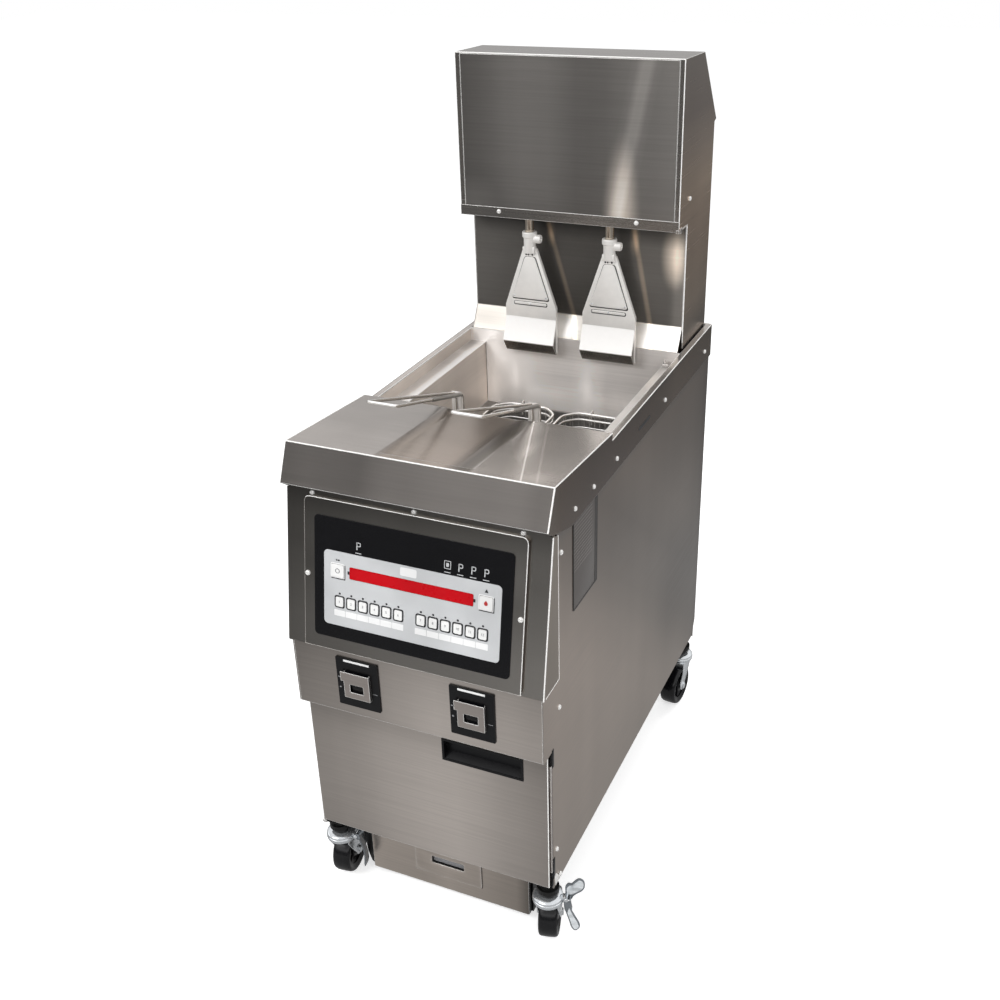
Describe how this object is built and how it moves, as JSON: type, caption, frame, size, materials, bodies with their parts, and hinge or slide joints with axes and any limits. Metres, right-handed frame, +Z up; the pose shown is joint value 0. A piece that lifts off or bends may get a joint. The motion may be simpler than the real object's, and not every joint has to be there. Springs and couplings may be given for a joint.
{
  "type": "floor deep fryer",
  "caption": "Floor-standing deep fryer: steel cabinet on casters, rectangular frypot, slanted key panel, filter pan, and a rear tower whose lift arms raise wire baskets.",
  "frame": {"origin": "on the floor, below the middle of the whole fryer", "axes": "+Z up, +X to the right seen from the control panel, +Y towards the tower at the back"},
  "size_m": [0.5524, 1.0044, 1.556],
  "materials": {
    "steel": "brushed stainless sheet",
    "tower_steel": "satin stainless sheet",
    "pot_steel": "pale stainless, satin",
    "wire": "plated wire",
    "hanger_steel": "bright stainless",
    "rod": "polished",
    "zinc": "zinc plated, bright",
    "tyre": "black, slight gloss",
    "black_paint": "black, satin",
    "element": "dark sheath",
    "black_plastic": "black, satin",
    "key_white": "white",
    "display_red": "clear red window",
    "lever_red": "red, satin"
  },
  "bodies": {
    "cabinet": {"base_frame": "black_paint", "left_side_panel": "steel", "right_side_panel": "steel", "rear_panel": "steel", "deck": "steel", "frypot": "pot_steel", "basket_rack": "wire", "heating_element": "element", "drain_valve": "zinc", "filter_pump": "black_paint", "tower_shell": "tower_steel", "tower_cover": "tower_steel", "tower_bottom_plate": "tower_steel", "backsplash": "tower_steel", "lift_drive": "black_paint", "control_housing": "steel", "control_bezel": "steel", "keypad_overlay": "black_plastic", "display_window": "display_red", "switch_panel": "steel", "switch_plate_left": "black_plastic", "switch_plate_right": "black_plastic", "switch_guard_left": "steel", "switch_guard_right": "steel"},
    "product_key_01": {"product_key_01": "key_white"},
    "product_key_02": {"product_key_02": "key_white"},
    "product_key_03": {"product_key_03": "key_white"},
    "product_key_04": {"product_key_04": "key_white"},
    "product_key_05": {"product_key_05": "key_white"},
    "product_key_06": {"product_key_06": "key_white"},
    "product_key_07": {"product_key_07": "key_white"},
    "product_key_08": {"product_key_08": "key_white"},
    "product_key_09": {"product_key_09": "key_white"},
    "product_key_10": {"product_key_10": "key_white"},
    "product_key_11": {"product_key_11": "key_white"},
    "product_key_12": {"product_key_12": "key_white"},
    "power_key_left": {"power_key_left": "key_white"},
    "power_key_right": {"power_key_right": "key_white"},
    "rocker_left": {"rocker_left": "black_plastic"},
    "rocker_right": {"rocker_right": "black_plastic"},
    "door": {"door": "steel", "door_handle": "black_plastic"},
    "filter_pan": {"filter_pan": "black_paint"},
    "lift_left": {"lift_rod_left": "rod", "lift_hanger_left": "hanger_steel"},
    "lift_right": {"lift_rod_right": "rod", "lift_hanger_right": "hanger_steel"},
    "basket_left": {"basket_left": "wire"},
    "basket_right": {"basket_right": "wire"},
    "caster_front_left": {"caster_fork_front_left": "zinc"},
    "caster_wheel_front_left": {"caster_wheel_front_left": "tyre"},
    "brake_lever_front_left": {"brake_lever_front_left": "zinc"},
    "caster_front_right": {"caster_fork_front_right": "zinc"},
    "caster_wheel_front_right": {"caster_wheel_front_right": "tyre"},
    "brake_lever_front_right": {"brake_lever_front_right": "zinc"},
    "caster_rear_left": {"caster_fork_rear_left": "zinc"},
    "caster_wheel_rear_left": {"caster_wheel_rear_left": "tyre"},
    "caster_rear_right": {"caster_fork_rear_right": "zinc"},
    "caster_wheel_rear_right": {"caster_wheel_rear_right": "tyre"},
    "drain_valve_lever": {"drain_valve_lever": "lever_red"}
  },
  "joints": [
    {"name": "product_key_01_press", "type": "slide", "parent": "cabinet", "child": "product_key_01", "axis": [0, 0.985, -0.1726], "range_m": [0, 0.001], "stiffness_N_per_m": 200},
    {"name": "product_key_02_press", "type": "slide", "parent": "cabinet", "child": "product_key_02", "axis": [0, 0.985, -0.1726], "range_m": [0, 0.001], "stiffness_N_per_m": 200},
    {"name": "product_key_03_press", "type": "slide", "parent": "cabinet", "child": "product_key_03", "axis": [0, 0.985, -0.1726], "range_m": [0, 0.001], "stiffness_N_per_m": 200},
    {"name": "product_key_04_press", "type": "slide", "parent": "cabinet", "child": "product_key_04", "axis": [0, 0.985, -0.1726], "range_m": [0, 0.001], "stiffness_N_per_m": 200},
    {"name": "product_key_05_press", "type": "slide", "parent": "cabinet", "child": "product_key_05", "axis": [0, 0.985, -0.1726], "range_m": [0, 0.001], "stiffness_N_per_m": 200},
    {"name": "product_key_06_press", "type": "slide", "parent": "cabinet", "child": "product_key_06", "axis": [0, 0.985, -0.1726], "range_m": [0, 0.001], "stiffness_N_per_m": 200},
    {"name": "product_key_07_press", "type": "slide", "parent": "cabinet", "child": "product_key_07", "axis": [0, 0.985, -0.1726], "range_m": [0, 0.001], "stiffness_N_per_m": 200},
    {"name": "product_key_08_press", "type": "slide", "parent": "cabinet", "child": "product_key_08", "axis": [0, 0.985, -0.1726], "range_m": [0, 0.001], "stiffness_N_per_m": 200},
    {"name": "product_key_09_press", "type": "slide", "parent": "cabinet", "child": "product_key_09", "axis": [0, 0.985, -0.1726], "range_m": [0, 0.001], "stiffness_N_per_m": 200},
    {"name": "product_key_10_press", "type": "slide", "parent": "cabinet", "child": "product_key_10", "axis": [0, 0.985, -0.1726], "range_m": [0, 0.001], "stiffness_N_per_m": 200},
    {"name": "product_key_11_press", "type": "slide", "parent": "cabinet", "child": "product_key_11", "axis": [0, 0.985, -0.1726], "range_m": [0, 0.001], "stiffness_N_per_m": 200},
    {"name": "product_key_12_press", "type": "slide", "parent": "cabinet", "child": "product_key_12", "axis": [0, 0.985, -0.1726], "range_m": [0, 0.001], "stiffness_N_per_m": 200},
    {"name": "power_key_left_press", "type": "slide", "parent": "cabinet", "child": "power_key_left", "axis": [0, 0.985, -0.1726], "range_m": [0, 0.001], "stiffness_N_per_m": 200},
    {"name": "power_key_right_press", "type": "slide", "parent": "cabinet", "child": "power_key_right", "axis": [0, 0.985, -0.1726], "range_m": [0, 0.001], "stiffness_N_per_m": 200},
    {"name": "rocker_left_tilt", "type": "hinge", "parent": "cabinet", "child": "rocker_left", "pos_m": [-0.12786, -0.48976, 0.554], "axis": [-1, 0, 0], "range_deg": [0, 8]},
    {"name": "rocker_right_tilt", "type": "hinge", "parent": "cabinet", "child": "rocker_right", "pos_m": [0.10314, -0.48976, 0.554], "axis": [-1, 0, 0], "range_deg": [0, 8]},
    {"name": "door_hinge", "type": "hinge", "parent": "cabinet", "child": "door", "pos_m": [-0.25596, -0.45976, 0.328], "axis": [0, 0, -1], "range_deg": [0, 110]},
    {"name": "filter_pan_slide", "type": "slide", "parent": "cabinet", "child": "filter_pan", "axis": [0, -1, 0], "range_m": [0, 0.4]},
    {"name": "lift_left_travel", "type": "slide", "parent": "cabinet", "child": "lift_left", "axis": [0, 0, 1], "range_m": [-0.13, 0]},
    {"name": "lift_right_travel", "type": "slide", "parent": "cabinet", "child": "lift_right", "axis": [0, 0, 1], "range_m": [-0.13, 0]},
    {"name": "basket_left_lift_out", "type": "slide", "parent": "cabinet", "child": "basket_left", "axis": [0, 0, 1], "range_m": [0, 0.25]},
    {"name": "basket_right_lift_out", "type": "slide", "parent": "cabinet", "child": "basket_right", "axis": [0, 0, 1], "range_m": [0, 0.25]},
    {"name": "caster_front_left_swivel", "type": "hinge", "parent": "cabinet", "child": "caster_front_left", "pos_m": [-0.24336, -0.43476, 0.118], "axis": [0, 0, 1], "range_deg": [-28, 178]},
    {"name": "caster_front_left_roll", "type": "hinge", "parent": "caster_front_left", "child": "caster_wheel_front_left", "pos_m": [-0.24702, -0.40499, 0.04976], "axis": [0.9925, 0.1219, 0], "continuous": true},
    {"name": "brake_lever_front_left_rock", "type": "hinge", "parent": "caster_front_left", "child": "brake_lever_front_left", "pos_m": [-0.20763, -0.43038, 0.122], "axis": [-0.1219, 0.9925, 0], "range_deg": [-10, 10]},
    {"name": "caster_front_right_swivel", "type": "hinge", "parent": "cabinet", "child": "caster_front_right", "pos_m": [0.21864, -0.43476, 0.118], "axis": [0, 0, 1], "range_deg": [-200, 8]},
    {"name": "caster_front_right_roll", "type": "hinge", "parent": "caster_front_right", "child": "caster_wheel_front_right", "pos_m": [0.21087, -0.40579, 0.04976], "axis": [0.9659, 0.2588, 0], "continuous": true},
    {"name": "brake_lever_front_right_rock", "type": "hinge", "parent": "caster_front_right", "child": "brake_lever_front_right", "pos_m": [0.25341, -0.42545, 0.122], "axis": [-0.2588, 0.9659, 0], "range_deg": [-10, 10]},
    {"name": "caster_rear_left_swivel", "type": "hinge", "parent": "cabinet", "child": "caster_rear_left", "pos_m": [-0.24336, 0.43724, 0.118], "axis": [0, 0, 1], "continuous": true},
    {"name": "caster_rear_left_roll", "type": "hinge", "parent": "caster_rear_left", "child": "caster_wheel_rear_left", "pos_m": [-0.23815, 0.40769, 0.04976], "axis": [-0.9848, -0.1736, 0], "continuous": true},
    {"name": "caster_rear_right_swivel", "type": "hinge", "parent": "cabinet", "child": "caster_rear_right", "pos_m": [0.21864, 0.43724, 0.118], "axis": [0, 0, 1], "continuous": true},
    {"name": "caster_rear_right_roll", "type": "hinge", "parent": "caster_rear_right", "child": "caster_wheel_rear_right", "pos_m": [0.2155, 0.4074, 0.04976], "axis": [-0.9945, 0.1045, 0], "continuous": true},
    {"name": "drain_valve_turn", "type": "hinge", "parent": "cabinet", "child": "drain_valve_lever", "pos_m": [-0.01236, -0.21676, 0.668], "axis": [0, 1, 0], "range_deg": [0, 90]}
  ]
}
